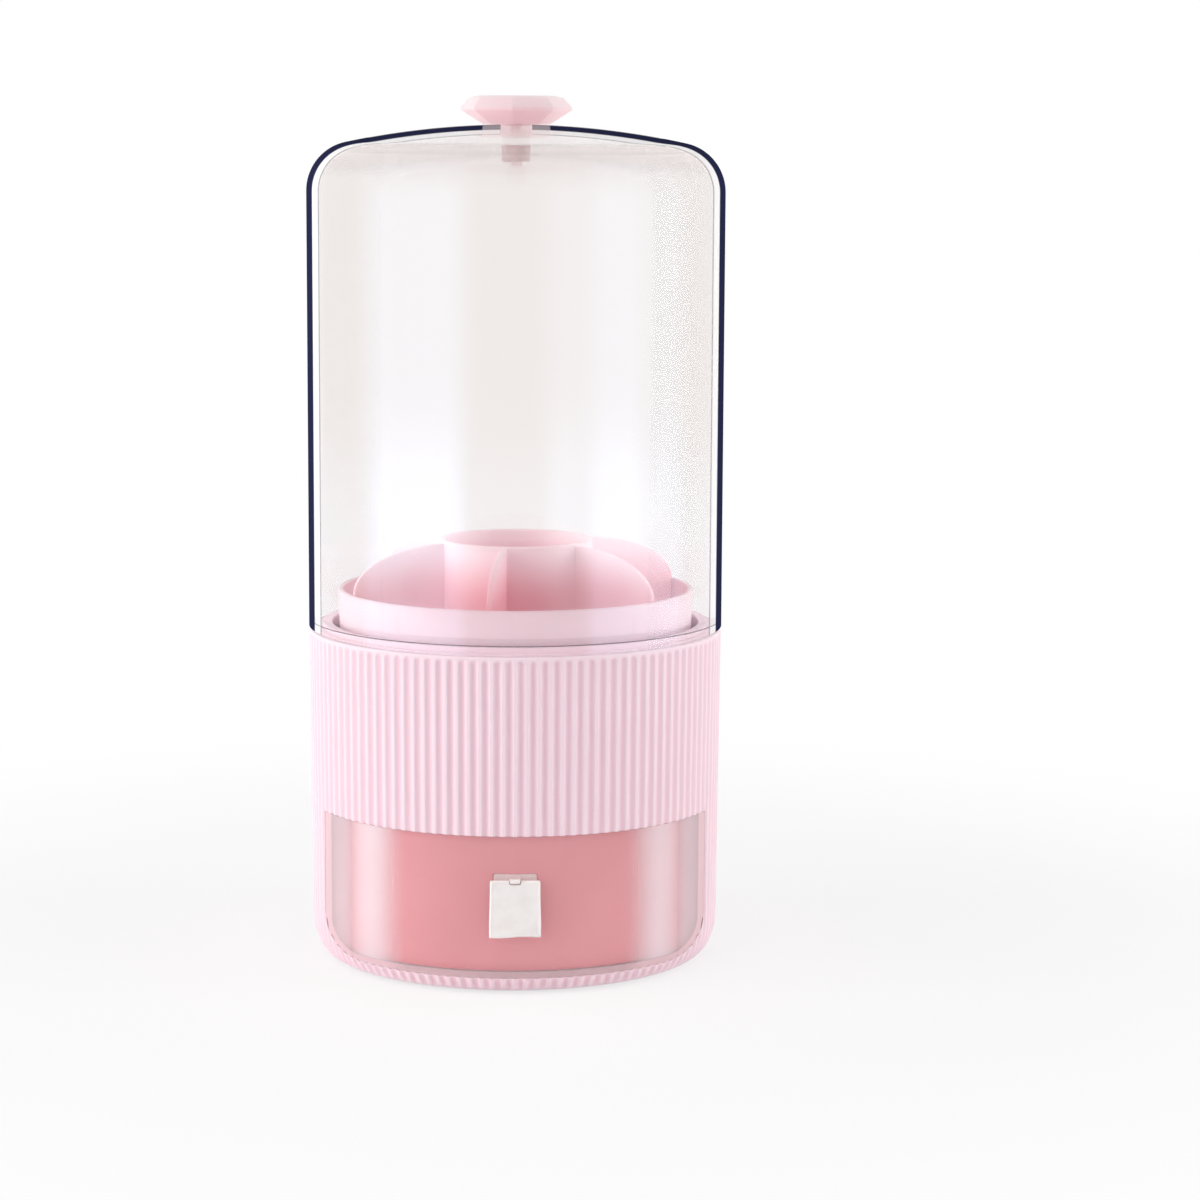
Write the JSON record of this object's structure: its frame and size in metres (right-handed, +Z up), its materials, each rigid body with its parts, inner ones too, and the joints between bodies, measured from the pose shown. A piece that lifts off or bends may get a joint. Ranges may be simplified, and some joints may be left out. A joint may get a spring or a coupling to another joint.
{
  "type": "makeup brush organizer",
  "caption": "Round lidded makeup brush stand: a clear domed cover with a faceted knob over a turning divided brush cup, on a fluted base with a clear-fronted curved drawer.",
  "frame": {"origin": "centre of the bottom, on the plane that the feet stand on", "axes": "+Z up along the axis of the dome and the turning cup; the drawer's front faces -Y; +X to the right seen from the front"},
  "size_m": [0.135, 0.1356, 0.28],
  "materials": {
    "clear_plastic": "clear polished moulding",
    "knob_plastic": "slightly cloudy glossy pink moulding",
    "cup_plastic": "satin pink moulding",
    "body_plastic": "satin pale pink moulding",
    "drawer_plastic": "satin pink moulding",
    "soft_white": "soft white moulding",
    "acetal": "natural white, matt",
    "steel": "zinc plated",
    "foot_rubber": "pale translucent, matt"
  },
  "bodies": {
    "base": {"body_shell": "body_plastic", "neck_ring": "body_plastic", "base_plate": "body_plastic", "base_screws": "steel", "foot_front_left": "foot_rubber", "foot_front_right": "foot_rubber", "foot_back_left": "foot_rubber", "foot_back_right": "foot_rubber", "runner_left": "acetal", "runner_right": "acetal", "runner_screws": "steel", "deck": "body_plastic", "deck_screws": "steel", "lower_race": "acetal", "spindle": "steel", "spindle_washer": "steel", "spindle_screw": "steel"},
    "cup": {"cup_tray": "cup_plastic", "divider_insert": "cup_plastic", "hub_bush": "acetal", "upper_race": "acetal", "hub_cap": "cup_plastic"},
    "ball_ring": {"ball_cage": "acetal", "bearing_balls": "steel"},
    "drawer": {"drawer_tray": "drawer_plastic", "drawer_front": "clear_plastic", "tab_anchor": "soft_white"},
    "pull_tab": {"pull_tab": "soft_white"},
    "dome": {"dome_cover": "clear_plastic", "knob": "knob_plastic", "knob_stem": "knob_plastic"}
  },
  "joints": [
    {"name": "cup_spin", "type": "hinge", "parent": "base", "child": "cup", "pos_m": [0, 0, 0.0673], "axis": [0, 0, 1], "continuous": true},
    {"name": "ball_ring_roll", "type": "hinge", "parent": "base", "child": "ball_ring", "pos_m": [0, 0, 0.0637], "axis": [0, 0, 1], "continuous": true},
    {"name": "drawer_slide", "type": "slide", "parent": "base", "child": "drawer", "axis": [0, -1, 0], "range_m": [0, 0.074]},
    {"name": "pull_tab_lift", "type": "hinge", "parent": "drawer", "child": "pull_tab", "pos_m": [0, -0.06735, 0.0374], "axis": [-1, 0, 0], "range_deg": [0, 80]},
    {"name": "dome_lift", "type": "slide", "parent": "base", "child": "dome", "axis": [0, 0, 1], "range_m": [0, 0.06]}
  ],
  "couplings": [
    {"joint": "ball_ring_roll", "follows": "cup_spin", "ratio": 0.5}
  ]
}
